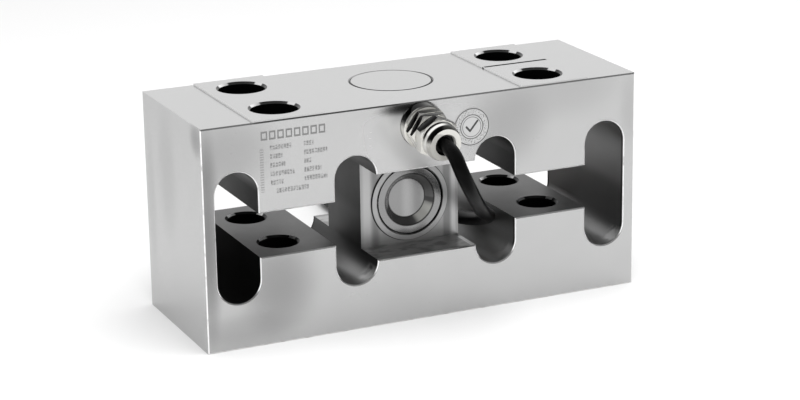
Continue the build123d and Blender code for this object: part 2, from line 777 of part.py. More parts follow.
def main():
    """Build the pieces, print the cable's arcs and write one file for each piece."""
    print("cable radii", [round(radius, 1) for radius in radii_for(CABLE_ROUTE)])
    print("cable end radii", [round(radius, 1) for radius in radii_for(CABLE_END_ROUTE)])
    os.makedirs("parts", exist_ok=True)
    for name, piece in all_parts().items():
        export_step(piece, f"parts/{name}.step")


main()
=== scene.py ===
"""Dresses the single point load cell: its slotted steel body, gland, cable and inner pieces.

Metres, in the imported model's frame: X along the body, Y from the front face to the back, Z up.
"""

from __future__ import annotations

import logging
import math
from collections.abc import Iterator
from dataclasses import dataclass, field
from enum import Enum

import bmesh
import bpy
from mathutils import Matrix, Vector

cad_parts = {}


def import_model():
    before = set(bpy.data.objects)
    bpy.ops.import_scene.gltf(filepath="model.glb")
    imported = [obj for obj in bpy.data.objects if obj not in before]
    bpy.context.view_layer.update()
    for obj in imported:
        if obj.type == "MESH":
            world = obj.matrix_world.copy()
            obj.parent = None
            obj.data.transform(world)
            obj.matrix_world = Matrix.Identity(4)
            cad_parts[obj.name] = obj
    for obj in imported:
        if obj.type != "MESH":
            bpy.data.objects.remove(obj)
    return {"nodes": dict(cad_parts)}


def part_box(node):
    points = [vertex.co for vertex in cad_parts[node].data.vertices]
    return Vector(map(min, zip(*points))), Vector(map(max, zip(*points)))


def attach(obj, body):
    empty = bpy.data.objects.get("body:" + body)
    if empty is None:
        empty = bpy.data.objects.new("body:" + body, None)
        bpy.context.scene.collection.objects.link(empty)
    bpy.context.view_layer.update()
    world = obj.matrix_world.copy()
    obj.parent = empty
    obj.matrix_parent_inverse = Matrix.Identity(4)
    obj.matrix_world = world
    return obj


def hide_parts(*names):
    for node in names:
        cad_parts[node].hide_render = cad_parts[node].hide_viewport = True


LOG = logging.getLogger("load_cell")
GLAND_TILT = math.radians(8.0)
MM = 0.001
BODY = "root"
Point = tuple[float, float, float]
Outline = tuple[tuple[float, float], ...]
Colour = tuple[float, float, float]
Socket = bpy.types.NodeSocket
Material = bpy.types.Material
BMesh = bmesh.types.BMesh
Nodes = dict[str, bpy.types.Object]
Tone = float | Colour | Socket


def grey(level: float) -> Colour:
    """Give a grey of one level."""
    return (level, level, level)


def stand(name: str, data: bpy.types.ID) -> bpy.types.Object:
    """Make an object and stand it in the scene.

    Args:
        name: The object's name.
        data: Its mesh, curve, lamp or camera.

    Returns:
        The object.
    """
    obj = bpy.data.objects.new(name, data)
    bpy.context.scene.collection.objects.link(obj)
    return obj


class Axis(Enum):
    """The axes of an object's own coordinates."""

    X = 0
    Y = 1
    Z = 2


class Value:
    """A number in a node graph, which arithmetic turns into Math nodes."""

    def __init__(self, graph: Graph, socket: Socket) -> None:
        """Wrap an output socket of a graph."""
        self.graph = graph
        self.socket = socket

    def _maths(self, operation: str, *others: Value | float) -> Value:
        """Add one Math node.

        Args:
            operation: The Math node's operation.
            others: The other inputs, as values or plain numbers.

        Returns:
            The node's result.
        """
        inputs = dict(enumerate((self.socket, *others)))
        node = self.graph.node("ShaderNodeMath", {"operation": operation}, inputs)
        return Value(self.graph, node.outputs[0])

    def __add__(self, other: Value | float) -> Value:
        """Add."""
        return self._maths("ADD", other)

    __radd__ = __add__

    def __sub__(self, other: Value | float) -> Value:
        """Subtract."""
        return self._maths("SUBTRACT", other)

    def __rsub__(self, other: float) -> Value:
        """Subtract this value from a number."""
        return self._maths("MULTIPLY", -1.0)._maths("ADD", other)

    def __mul__(self, other: Value | float) -> Value:
        """Multiply."""
        return self._maths("MULTIPLY", other)

    __rmul__ = __mul__

    def __truediv__(self, other: Value | float) -> Value:
        """Divide."""
        return self._maths("DIVIDE", other)

    def __abs__(self) -> Value:
        """Drop the sign."""
        return self._maths("ABSOLUTE")

    def root(self) -> Value:
        """Take the square root."""
        return self._maths("SQRT")

    def fraction(self) -> Value:
        """Keep what is past the decimal point."""
        return self._maths("FRACT")

    def smaller(self, other: Value | float) -> Value:
        """Take the smaller of two values."""
        return self._maths("MINIMUM", other)

    def larger(self, other: Value | float) -> Value:
        """Take the larger of two values."""
        return self._maths("MAXIMUM", other)

    def step(self, low: float, high: float) -> Value:
        """Rise smoothly from 0 at one value to 1 at another.

        Args:
            low: The value that gives 0.
            high: The value that gives 1, which may be the lower one.

        Returns:
            The smooth step.
        """
        settings = {"interpolation_type": "SMOOTHSTEP"}
        inputs = {"Value": self.socket, "From Min": low, "From Max": high}
        return Value(self.graph, self.graph.node("ShaderNodeMapRange", settings, inputs).outputs[0])

    def band(self, centre: float, width: float, soft: float) -> Value:
        """Give 1 within a band of a full width and 0 outside it, with a soft edge."""
        return abs(self - centre).step(width / 2 + soft / 2, width / 2 - soft / 2)

    def rise(self, low: float, high: float) -> Value:
        """Step between two places in millimetres."""
        return self.step(low * MM, high * MM)

    def strip(self, centre: float, width: float, soft: float) -> Value:
        """Give a band whose sizes are in millimetres."""
        return self.band(centre * MM, width * MM, soft * MM)

    def reach(self, other: Value) -> Value:
        """Give the distance from where this value and another are both 0."""
        return (self * self + other * other).root()


class Graph:
    """A node tree that starts empty."""

    def __init__(self, tree: bpy.types.NodeTree) -> None:
        """Clear a material's or the world's tree."""
        self.tree = tree
        self.tree.nodes.clear()

    def node(self, kind: str, settings: dict | None = None, inputs: dict | None = None) -> bpy.types.Node:
        """Add a node, with its settings first and then its sockets.

        Args:
            kind: The node's type.
            settings: Properties to set.
            inputs: Values or links by socket name or number.

        Returns:
            The new node.
        """
        node = self.tree.nodes.new(kind)
        for name, value in (settings or {}).items():
            setattr(node, name, value)
        for key, value in (inputs or {}).items():
            self.feed(node.inputs[key], value)
        return node

    def feed(self, socket: Socket, value: object) -> None:
        """Link something into an input socket or set the socket to it.

        Args:
            socket: The input socket.
            value: A value, an output socket, a number, or a colour with or without its alpha.
        """
        if isinstance(value, Value):
            value = value.socket
        if isinstance(value, Socket):
            self.tree.links.new(value, socket)
        elif isinstance(value, tuple) and len(value) == 3 and socket.type == "RGBA":
            socket.default_value = (*value, 1.0)
        else:
            socket.default_value = value

    def value(self, kind: str, output: str) -> Value:
        """Give one output of an input node as a value."""
        return Value(self, self.node(kind).outputs[output])

    def mix(self, factor: Value | float, low: Tone, high: Tone) -> Socket:
        """Mix two tones, each a grey's level, a colour or a socket.

        Args:
            factor: 0 gives the first tone and 1 the second.
            low: The first tone.
            high: The second tone.

        Returns:
            The mixed colour's socket.
        """
        sides = [grey(tone) if isinstance(tone, float) else tone for tone in (low, high)]
        inputs = {0: factor, 6: sides[0], 7: sides[1]}
        return self.node("ShaderNodeMix", {"data_type": "RGBA"}, inputs).outputs[2]

    def layers(self, colour: Tone, *layers: tuple[Value, Tone]) -> Tone:
        """Lay tones over a colour.

        Args:
            colour: The lowest tone.
            layers: Each tone's mask and the tone, from the lowest up.

        Returns:
            The mixed colour.
        """
        for mask, tone in layers:
            colour = self.mix(mask, colour, tone)
        return colour


class Shader(Graph):
    """Builds one material around a Principled BSDF."""

    def __init__(self, name: str) -> None:
        """Make the material with its two end nodes.

        Args:
            name: The material's name.
        """
        self.material = bpy.data.materials.new(name)
        self.material.use_nodes = True
        super().__init__(self.material.node_tree)
        self.surface = self.node("ShaderNodeBsdfPrincipled")
        self.node("ShaderNodeOutputMaterial", None, {"Surface": self.surface.outputs[0]})
        self._place: Socket | None = None

    def place(self) -> Socket:
        """Make the object coordinates' node once.

        Returns:
            Its socket.
        """
        if self._place is None:
            self._place = self.node("ShaderNodeTexCoord").outputs["Object"]
        return self._place

    def coordinates(self, origin: Point = (0.0, 0.0, 0.0)) -> tuple[Value, Value, Value]:
        """Split the object coordinates about a point.

        Args:
            origin: The point that becomes the origin, in metres.

        Returns:
            The three coordinates.
        """
        parts = self.node("ShaderNodeSeparateXYZ", None, {0: self.place()}).outputs
        values = [Value(self, socket) for socket in parts]
        return tuple(v - o if o else v for v, o in zip(values, origin))

    def base(self) -> Socket:
        """Give the socket that colours the surface so far."""
        return self.surface.inputs["Base Color"].links[0].from_socket

    def facing(self, axis: Axis) -> Value:
        """Give the surface normal along one axis."""
        normal = self.node("ShaderNodeTexCoord").outputs["Normal"]
        return Value(self, self.node("ShaderNodeSeparateXYZ", None, {0: normal}).outputs[axis.value])

    def noise(self, size: float, detail: float = 3.0, stretch: Point = (1.0, 1.0, 1.0)) -> Value:
        """Add noise with features of one size.

        Args:
            size: The features' size in metres.
            detail: The number of finer octaves.
            stretch: How many times longer the features are along each axis.

        Returns:
            The noise, from 0 to 1.
        """
        scale = tuple(1.0 / s for s in stretch)
        mapping = self.node("ShaderNodeMapping", None, {"Vector": self.place(), "Scale": scale})
        inputs = {"Vector": mapping.outputs[0], "Scale": 1.0 / size, "Detail": detail}
        return Value(self, self.node("ShaderNodeTexNoise", None, inputs).outputs["Fac"])

    def bump(self, height: Value, distance: float, strength: float = 1.0) -> None:
        """Raise the surface by a height, on top of any earlier bump.

        Args:
            height: The height, where 1 is the full distance.
            distance: The full height in metres.
            strength: The share of the bump that shows.
        """
        inputs = {"Height": height, "Distance": distance, "Strength": strength}
        socket = self.surface.inputs["Normal"]
        if socket.is_linked:
            inputs["Normal"] = socket.links[0].from_socket
        self.finish(Normal=self.node("ShaderNodeBump", None, inputs).outputs[0])

    def finish(self, **sockets: object) -> Material:
        """Set the surface's own sockets; an underscore in a name stands for a space.

        Args:
            sockets: Numbers, colours, values or links by socket name.

        Returns:
            The material.
        """
        for name, value in sockets.items():
            self.feed(self.surface.inputs[name.replace("_", " ")], value)
        return self.material


@dataclass(frozen=True)
class Steel:
    """Ground stainless steel, with a fine grain and soft mottling."""

    name: str
    colour: Colour = grey(0.56)
    roughness: float = 0.24
    grain: float = 0.22 * MM
    along: Axis = Axis.X

    def shader(self) -> Shader:
        """Make the steel's shader without marks.

        Returns:
            The shader, ready for more.
        """
        shader = Shader(self.name)
        stretch = [1.0, 1.0, 1.0]
        stretch[self.along.value] = 9.0
        grain = shader.noise(self.grain, 2.0, tuple(stretch))
        mottle = shader.noise(9.0 * MM, 3.0)
        dark = tuple(c * 0.93 for c in self.colour)
        light = tuple(min(1.0, c * 1.05) for c in self.colour)
        shader.finish(
            Base_Color=shader.mix(mottle * 0.7 + grain * 0.3, dark, light),
            Metallic=1.0,
            Roughness=self.roughness + (mottle - 0.5) * 0.08 + (grain - 0.5) * 0.10,
        )
        shader.bump(grain, 0.0015 * MM, 0.4)
        return shader

    def build(self) -> Material:
        """Make the plain steel."""
        return self.shader().material


@dataclass(frozen=True)
class Plated:
    """Polished plating, with faint clouds and fine scuffs."""

    name: str
    colour: Colour = (0.66, 0.655, 0.635)
    roughness: float = 0.08
    metallic: float = 1.0

    def shader(self) -> Shader:
        """Make the plating's shader without marks.

        Returns:
            The shader, ready for more.
        """
        shader = Shader(self.name)
        cloud = shader.noise(2.4 * MM, 3.0)
        scuff = shader.noise(0.5 * MM, 2.0, (1.0, 6.0, 1.0))
        warm = (self.colour[0] * 0.98, self.colour[1] * 0.965, self.colour[2] * 0.92)
        shader.finish(
            Base_Color=shader.mix(cloud.step(0.35, 0.75), self.colour, warm),
            Metallic=self.metallic,
            Roughness=self.roughness + cloud * 0.05 + scuff.step(0.58, 0.75) * 0.06,
        )
        shader.bump(scuff, 0.001 * MM, 0.4)
        return shader

    def build(self) -> Material:
        """Make the plain plating."""
        return self.shader().material


@dataclass(frozen=True)
class GlandPlating(Plated):
    """The gland's nickel, with painted shade and painted dark reflections where it faces up and left,
    painted highlight arcs round the dome and flange, and painted pale reflections below.
    """

    seat: Point = (-1.7 * MM, -28.7127 * MM, 73.1809 * MM)
    tilt: float = GLAND_TILT
    painted_dark_reflection: float = 0.003
    painted_top_shade: Colour = (0.022, 0.023, 0.020)
    pale: Colour = (0.74, 0.73, 0.69)
    shine: Colour = (0.90, 0.89, 0.86)

    def build(self) -> Material:
        """Make the gland's plating.

        Returns:
            The material.
        """
        shader = self.shader()
        _, y, z = shader.coordinates(self.seat)
        along = (y * -math.cos(self.tilt) - z * math.sin(self.tilt)) / MM
        right, up = shader.facing(Axis.X), shader.facing(Axis.Z)
        lean = up * 0.64 - right * 0.77
        # Painted pale reflections on faces that look down and on the nut's front face; painted highlight
        # arcs round the dome and the flange.
        pale = (up * -0.8 - right * 0.45).step(0.10, 0.50).larger(shader.facing(Axis.Y).step(-0.90, -0.97))
        arc = along.band(18.3, 1.5, 0.6) * lean.step(0.35, 0.70) * 0.9
        arc = arc.larger(along.band(4.3, 0.5, 0.3) * lean.step(0.80, 0.96) * 0.6)
        arc = arc.larger(along.band(16.0, 0.35, 0.15) * lean.step(0.20, 0.50))
        # Painted shade on faces that look up and painted dark reflections on those that look up and left;
        # Metallic drops under the painted light so that it shows.
        colour = shader.layers(
            shader.base(),
            (up.step(0.30, 0.75) * 0.97, self.painted_top_shade),
            (lean.step(0.58, 0.74), self.painted_dark_reflection),
            (pale, self.pale),
            (arc, self.shine),
        )
        return shader.finish(Base_Color=colour, Metallic=1.0 - pale.larger(arc) * 0.65)


@dataclass(frozen=True)
class Polymer:
    """Moulded plastic or rubber, with a fine skin texture and slight wear."""

    name: str
    colour: Colour
    roughness: float = 0.45
    texture: float = 0.35 * MM
    depth: float = 0.006 * MM
    gloss: float = 0.5

    def build(self) -> Material:
        """Make the plastic.

        Returns:
            The material.
        """
        shader = Shader(self.name)
        skin = shader.noise(self.texture, 2.0)
        cloud = shader.noise(6.0 * MM, 3.0)
        pale = tuple(min(1.0, c * 1.15 + 0.001) for c in self.colour)
        shader.finish(
            Base_Color=shader.mix(cloud.step(0.3, 0.8), self.colour, pale),
            Roughness=self.roughness + (cloud - 0.5) * 0.12 + (skin - 0.5) * 0.06,
            Specular_IOR_Level=self.gloss,
        )
        shader.bump(skin, self.depth, 0.6)
        return shader.material


@dataclass(frozen=True)
class Shade:
    """One soft darker patch on a ground face: its middle, half sizes in millimetres and depth."""

    across: float
    up: float
    wide: float
    high: float
    depth: float

    def value(self, across: Value, up: Value) -> Value:
        """Give the patch's share of the light.

        Args:
            across: The coordinate across the face.
            up: The coordinate up the face.

        Returns:
            1 away from the patch and less in its middle.
        """
        off_across = (across - self.across * MM) / (self.wide * MM)
        off_up = (up - self.up * MM) / (self.high * MM)
        near = (1.0 - off_across * off_across - off_up * off_up).larger(0.0)
        return 1.0 - near.step(0.0, 1.0) * near * self.depth

    @staticmethod
    def product(shades: tuple[Shade, ...], across: Value, up: Value) -> Value:
        """Multiply the shares of several patches.

        Args:
            shades: The patches.
            across: The coordinate across the face.
            up: The coordinate up the face.

        Returns:
            The share of the light that they leave together.
        """
        share = shades[0].value(across, up)
        for shade in shades[1:]:
            share = share * shade.value(across, up)
        return share


@dataclass(frozen=True)
class BodySteel(Steel):
    """The body's steel: ground outside with soft painted shade, painted light and shade on what was cut,
    and painted highlights on the broken edges.

    Its lengths are in millimetres, and its tones are greys.
    """

    half_length: float = 85.0
    half_width: float = 30.0
    height: float = 81.5
    bevel: float = 0.5
    core_half: float = 19.4
    middle_z: float = 40.75
    hole_x: float = 52.0
    hole_y: float = 15.75
    low_hole: float = 7.02
    high_hole: float = 8.52
    line_y: float = 1.75
    gland_x: float = -1.7
    gland_z: float = 73.0
    seat: float = 8.5
    disc_x: float = 1.0
    disc_y: float = 2.0
    disc_rim: float = 15.35
    # All these greys but etch_tone paint light and shade: shade on the cut walls, the block tops, the core,
    # the bores, the pad's groove and the seam, and highlights on the edges and glints.
    cut_dark: float = 0.006
    cut_light: float = 0.17
    block_tone: float = 0.125
    core_tone: float = 0.41
    bore_tone: float = 0.012
    edge_tone: float = 0.95
    etch_tone: float = 0.27
    seam_tone: float = 0.10
    # Painted shade patches on the front face, and below them on the left end face.
    front_shades: tuple[Shade, ...] = (
        Shade(-76, 72, 27, 20, 0.26),
        Shade(-83.5, 42, 6.5, 52, 0.55),
        Shade(-58, 22, 20, 26, 0.38),
        Shade(-72, 7, 26, 9, 0.20),
        Shade(31, 69, 24, 22, 0.26),
        Shade(56, 80, 32, 18, 0.14),
        Shade(83, 68, 6, 20, 0.12),
        # Painted shadow of the gland beside it.
        Shade(-8, 79.6, 14, 3.2, 0.90),
    )
    end_shades: tuple[Shade, ...] = (
        Shade(6, 56, 13, 34, 0.15),
        Shade(-26, 77, 9, 9, 0.42),
        Shade(24, 40, 6, 40, 0.12),
    )

    def _shaded(self, shader: Shader) -> Tone:
        """Paint soft shade onto the front and left end faces in darker patches, with streaks on the end and
        the gland's shadow on the front.

        Args:
            shader: The body's shader.

        Returns:
            The shaded colour.
        """
        x, y, z = shader.coordinates()
        front = y.rise(0.6 - self.half_width, 0.4 - self.half_width)
        left = x.rise(0.6 - self.half_length, 0.4 - self.half_length)
        streak = shader.noise(5.0 * MM, 2.0, (1.0, 1.0, 0.05)).step(0.35, 0.75)
        share = Shade.product(self.front_shades, x, z)
        end_share = Shade.product(self.end_shades, y, z) * (1.0 - streak * 0.10)
        dark = (1.0 - share) * front * (1.0 - left)
        dark = dark.larger((1.0 - end_share) * left * (1.0 - front))
        return shader.mix(dark, shader.base(), 0.0)

    def _holes(self, shader: Shader, colour: Tone) -> Tone:
        """Paint shade into the bolt holes and onto their chamfers, with painted glints on the chamfers' far
        side.

        Args:
            shader: The body's shader.
            colour: The colour so far.

        Returns:
            The new colour.
        """
        x, y, z = shader.coordinates()
        off_x = abs(x) - self.hole_x * MM
        off_y = y - (y.rise(-1.0, 1.0) * 2.0 - 1.0) * (self.hole_y * MM)
        right_x = (x.rise(-1.0, 1.0) * 2.0 - 1.0) * off_x
        reach = off_x.reach(off_y)
        rim = z.rise(59.0, 60.0) * (self.high_hole - self.low_hole) * MM + self.low_hole * MM
        bore = (reach - rim).rise(0.06, 0.0)
        flare = (reach - rim).rise(0.9, 0.84) * (1.0 - abs(shader.facing(Axis.Z)).step(0.9, 0.96))
        # Painted shade on the chamfer and in the bore, and painted glints on the chamfer's far side.
        mouth = flare * (1.0 - bore)
        far_left = ((off_y * 0.87 - right_x * 0.49) / reach).step(0.94, 0.975)
        right = ((off_y * 0.42 + right_x * 0.91) / reach).step(0.975, 0.99)
        glint = mouth * far_left.larger(right * 0.7)
        layers = (mouth * 0.93, 0.02), (glint, self.edge_tone), (bore * flare, self.bore_tone)
        return shader.layers(colour, *layers)

    def _core(self, shader: Shader) -> Tone:
        """Paint the core's faces darker as shade in the recess, with soft upright bands of painted light
        and shade, a painted light ring on the collar and patchy painted shade in the lines round it.

        Args:
            shader: The body's shader.

        Returns:
            The core's colour.
        """
        x, _, z = shader.coordinates()
        reach = x.reach(z - self.middle_z * MM)
        outside = reach.rise(15.0, 15.4)
        light = (x.strip(-17.0, 3.0, 1.6) * 0.8).larger(x.strip(17.7, 1.6, 0.8) * 0.9)
        dark = (x.strip(-13.6, 2.6, 2.0) * 0.45).larger(x.strip(14.9, 2.8, 1.2) * 0.5)
        patchy = shader.noise(4.0 * MM, 2.0).step(0.35, 0.55)
        seat_line = reach.strip(13.05, 0.6, 0.15) * (0.45 + patchy * 0.4)
        # Painted shade over the core face, painted light and shade bands, a painted light ring and painted
        # shade in the collar's lines.
        return shader.layers(
            self.core_tone,
            (light * outside, 0.56),
            (dark * outside, 0.10),
            (reach.strip(14.1, 1.7, 0.3) * 0.5, 0.52),
            ((reach.strip(15.25, 0.35, 0.12) * 0.85).larger(seat_line), 0.015),
        )

    def _walls(self, shader: Shader, upward: Value, low: Value) -> Tone:
        """Paint light and shade on what was cut: shade on the slots' walls, the bolt blocks' tops and the
        core, and painted light and glints on the slots' floors and on the shelf.

        Args:
            shader: The body's shader.
            upward: 1 on the blocks' and the shelf's upward faces.
            low: 1 in the slots' lower half.

        Returns:
            The walls' colour.
        """
        x, y, _ = shader.coordinates()
        up = shader.facing(Axis.Z)
        # Painted light (pale) and painted shade (dim, mouth) on the slots' walls.
        pale = (low * x.strip(27.0, 20.0, 4.0)).larger((1.0 - low) * x.rise(60.0, 66.0) * 0.9)
        dim = (1.0 - low) * x.rise(50.0, 40.0) * 0.85
        mouth = abs(y).rise(self.half_width - 2.2, self.half_width - 1.0)
        past_first = x.rise(-50.0, -40.0)
        # Painted light on the slots' floors and painted glints on their arcs.
        painted_floor_light = up.step(0.25, 0.90) * y.rise(8.0, -28.0) * past_first * low
        glint_breakup = shader.noise(3.0 * MM, 2.0).step(0.30, 0.60)
        tip = (up * 0.72 - shader.facing(Axis.X) * 0.70).step(0.86, 0.97) * glint_breakup
        tip = tip * y.rise(-21.0, -26.0) * past_first * low
        # Painted light on the shelf, in streaks, brighter at its right end.
        shelf = upward * x.strip(0.0, 2 * self.core_half, 0.2)
        shelf_streaks = shader.noise(7.0 * MM, 2.0, (1.0, 0.6, 1.0)).step(0.40, 0.60)
        end_light = x.rise(17.4, 17.9) * y.rise(-17.0, -19.0) * upward * shelf
        # From the bottom: painted shade on the cut walls, graded along the body, the painted patches above,
        # painted shade on the block tops, the shelf's painted light and the core.
        return shader.layers(
            shader.mix(x.rise(-60.0, 75.0), self.cut_dark, self.cut_light),
            (pale * 0.8, 0.30),
            (dim.larger(mouth * 0.8), 0.002),
            (painted_floor_light * 0.8, 0.42),
            (tip, 0.55),
            (upward, self.block_tone),
            (shelf * (0.35 + shelf_streaks * 0.45), 0.55),
            (end_light * 0.9, 0.80),
            (abs(shader.facing(Axis.Y)).step(0.6, 0.8), self._core(shader)),
        )

    def build(self) -> Material:
        """Make the body's finish, with its cut walls, edges and etched rows.

        Returns:
            The material.
        """
        shader = self.shader()
        x, y, z = shader.coordinates()
        up = shader.facing(Axis.Z)
        roughness = Value(shader, shader.surface.inputs["Roughness"].links[0].from_socket)
        inside = (
            abs(y).rise(self.half_width - 0.1, self.half_width - self.bevel)
            * abs(x).rise(self.half_length - 0.1, self.half_length - self.bevel)
            * z.rise(self.height - 0.1, self.height - self.bevel)
            * z.rise(0.1, self.bevel)
        )
        from_gland = (x - self.gland_x * MM).reach(z - self.gland_z * MM)
        cut = inside * (1.0 - from_gland.rise(self.seat + 0.2, self.seat) * y.rise(-24.0, -26.0))
        upward = up.step(0.6, 0.9) * z.rise(24.2, 24.6)
        low = z.rise(42.0, 36.0)
        colour = shader.mix(cut, self._shaded(shader), self._walls(shader, upward, low))
        face = abs(y).rise(self.half_width - self.bevel - 0.05, self.half_width - self.bevel + 0.05)
        slope = abs(shader.facing(Axis.Y)).band(0.7071, 0.3, 0.1)
        slope = slope * abs(y).strip(self.half_width - 0.25, 0.34, 0.1)
        below_top = z.rise(self.height - 0.2, self.height - 0.6)
        # Painted highlights on the broken edges, left out in patches.
        patchy = shader.noise(5.0 * MM, 2.0).step(0.20, 0.50) * up.step(0.5, 0.3)
        edges = face * slope * below_top * patchy
        # Painted shade on the top edge bevels, and darker still along part of the front one.
        ridge = face * (1.0 - below_top) * up.step(0.2, 0.4)
        dark_edge_line = ridge * x.rise(-66.0, -64.0) * x.rise(-9.0, -11.0)
        # Painted shade in the right pad's engraved groove.
        line = y.strip(self.line_y, 1.5, 0.05) * x.rise(38.0, 38.4)
        line = line * z.rise(self.height + 0.48, self.height + 0.42)
        line = line * z.rise(self.height, self.height + 0.05)
        # Painted light: the pads' side faces turn near white and less metallic so that they stay light.
        pad_sides = z.rise(self.height + 0.02, self.height + 0.06) * up.step(0.6, 0.4)
        pad_sides = pad_sides * abs(shader.facing(Axis.X)).step(0.7, 0.9) * (1.0 - line)
        # Painted shade in the seam round the top disc, stronger towards the front.
        rim_y = y - self.disc_y * MM
        seam = (x - self.disc_x * MM).reach(rim_y).strip(self.disc_rim, 0.6, 0.1)
        seam = seam * z.rise(self.height - 1.0, self.height - 0.9)
        etched = EtchedRows().mask(shader)
        colour = shader.layers(
            self._holes(shader, colour),
            (edges, self.edge_tone),
            (ridge * 0.6, 0.20),
            (dark_edge_line * 0.8, 0.05),
            (line, self.bore_tone),
            (pad_sides, 0.97),
            (seam * (0.25 + rim_y.rise(14.0, 4.0) * 0.75), self.seam_tone),
            (etched, self.etch_tone),
        )
        slack = cut * x.rise(-50.0, -60.0) * low * (1.0 - upward)
        # Less metallic round the gland, so that the face shows less of the gland's dark reflection.
        near = from_gland.rise(40.0, 8.0) * y.rise(-29.0, -29.5)
        halo = near * near * (1.0 - cut) * z.rise(81.5, 75.0)
        rough = roughness + cut * 0.16 + slack * 0.55 + etched * 0.2
        return shader.finish(
            Base_Color=colour,
            Metallic=0.97 - edges * 0.92 - pad_sides * 0.9 - halo * 0.75,
            Roughness=rough - edges * 0.08 + pad_sides * 0.4,
        )


@dataclass(frozen=True)
class EtchedRows:
    """Faint etched rows of plain strokes on the front face, in millimetres."""

    left: float = -63.0
    title_right: float = -38.2
    title_z: float = 76.4
    title_high: float = 3.2
    title_pitch: float = 3.1
    box_middle: float = 0.42
    first_z: float = 71.9
    pitch: float = 3.15
    stroke_pitch: float = 1.05
    label_left: float = -59.6
    value_left: float = -46.9
    labels: tuple[float, ...] = (8.0, 4.6, 5.6, 9.0, 4.8)
    values: tuple[float, ...] = (3.6, 8.8, 2.6, 6.4, 8.6)
    last_row: tuple[int, float, float] = (5, -57.5, 12.0)
    face: float = -29.8

    def mask(self, shader: Shader) -> Value:
        """Give the strokes' mask.

        Args:
            shader: The body's shader.

        Returns:
            1 on a stroke and 0 elsewhere.
        """
        x, y, z = (axis / MM for axis in shader.coordinates())
        box = ((x - self.left) / self.title_pitch).fraction()
        title = box.band(self.box_middle, 0.78, 0.04) * z.band(self.title_z, self.title_high, 0.3)
        title = title * self._span(x, self.left, self.title_right)
        title = title * (1.0 - box.band(self.box_middle, 0.46, 0.04) * z.band(self.title_z, 1.9, 0.2))
        crumbs = shader.noise(0.55 * MM, 1.0, (1.0, 1.0, 0.6)).step(0.40, 0.52)
        strokes = (x / self.stroke_pitch).fraction().band(0.5, 0.80, 0.1) * (crumbs * 0.75 + 0.15)
        rows = self._row(x, z, *self.last_row)
        for number, (label, value) in enumerate(zip(self.labels, self.values)):
            rows = rows.larger(self._row(x, z, number, self.label_left, label))
            rows = rows.larger(self._row(x, z, number, self.value_left, value))
        side = self._span(x, self.left - 0.4, self.left + 1.0) * z.band(64.2, 16.0, 0.4)
        side = side * (z / 0.9).fraction().band(0.5, 0.6, 0.2) * 0.5
        return (title * 0.95).larger(rows * strokes).larger(side) * y.step(self.face, self.face - 0.1)

    def _row(self, x: Value, z: Value, number: int, left: float, length: float) -> Value:
        """Give one word's bar on its row."""
        height = z.band(self.first_z - number * self.pitch, 1.7, 0.3)
        return height * self._span(x, left, left + length)

    @staticmethod
    def _span(x: Value, left: float, right: float) -> Value:
        """Give 1 between two places across the face."""
        return x.step(left - 0.1, left) * x.step(right, right - 0.1)


@dataclass(frozen=True)
class DiscSteel(Steel):
    """The top disc's steel, with painted shade on its chamfered rim, stronger towards the front."""

    centre: Point = (1.0 * MM, 2.0 * MM, 0.0)
    rim: float = 14.62

    def build(self) -> Material:
        """Make the disc's finish.

        Returns:
            The material.
        """
        shader = self.shader()
        x, y, _ = shader.coordinates(self.centre)
        # Painted shade on the rim chamfer, stronger towards the front.
        dark = x.reach(y).rise(self.rim, self.rim + 0.05) * (0.15 + y.rise(11.0, 2.0) * 0.85)
        return shader.finish(Base_Color=shader.mix(dark, shader.base(), 0.03))


@dataclass(frozen=True)
class CoverSteel(Steel):
    """A gauge cover's steel, with a painted upright sheen, painted light and shade on the dish's sides and
    painted shade at its rims.
    """

    middle_z: float = 40.75 * MM

    def build(self) -> Material:
        """Make the cover's finish.

        Returns:
            The material.
        """
        shader = self.shader()
        x, _, up = shader.coordinates((0.0, 0.0, self.middle_z))
        reach = x.reach(up)
        cone = reach.strip(8.55, 2.4, 0.15)
        below = ((x * -0.42 - up * 0.91) / reach).step(0.35, 0.95)
        above = ((x * 0.55 + up * 0.84) / reach).step(0.55, 1.0)
        side = ((x * 0.985 - up * 0.17) / reach).step(0.985, 0.999)
        bright = ((x * 0.72 - up * 0.69) / reach).step(0.84, 0.97)
        rims = reach.strip(9.8, 0.5, 0.2).larger(reach.strip(7.25, 0.4, 0.2))
        # Metallic drops on the dish so that its painted light and shade show.
        colour = shader.layers(
            shader.base(),
            (x.strip(0.2, 3.4, 3.0) * 0.45, 0.46),
            (x.strip(4.8, 3.0, 2.4) * 0.30, 0.12),
            (cone * 0.6, 0.16),
            (cone * below * 0.85, 0.035),
            (cone * above * 0.6, 0.05),
            (cone * side * 0.8, 0.04),
            (cone * bright, (0.62, 0.62, 0.59)),
            (rims * 0.8, 0.03),
            (reach.rise(12.55, 12.75), 0.02),
        )
        return shader.finish(Base_Color=colour, Metallic=1.0 - cone * 0.6)


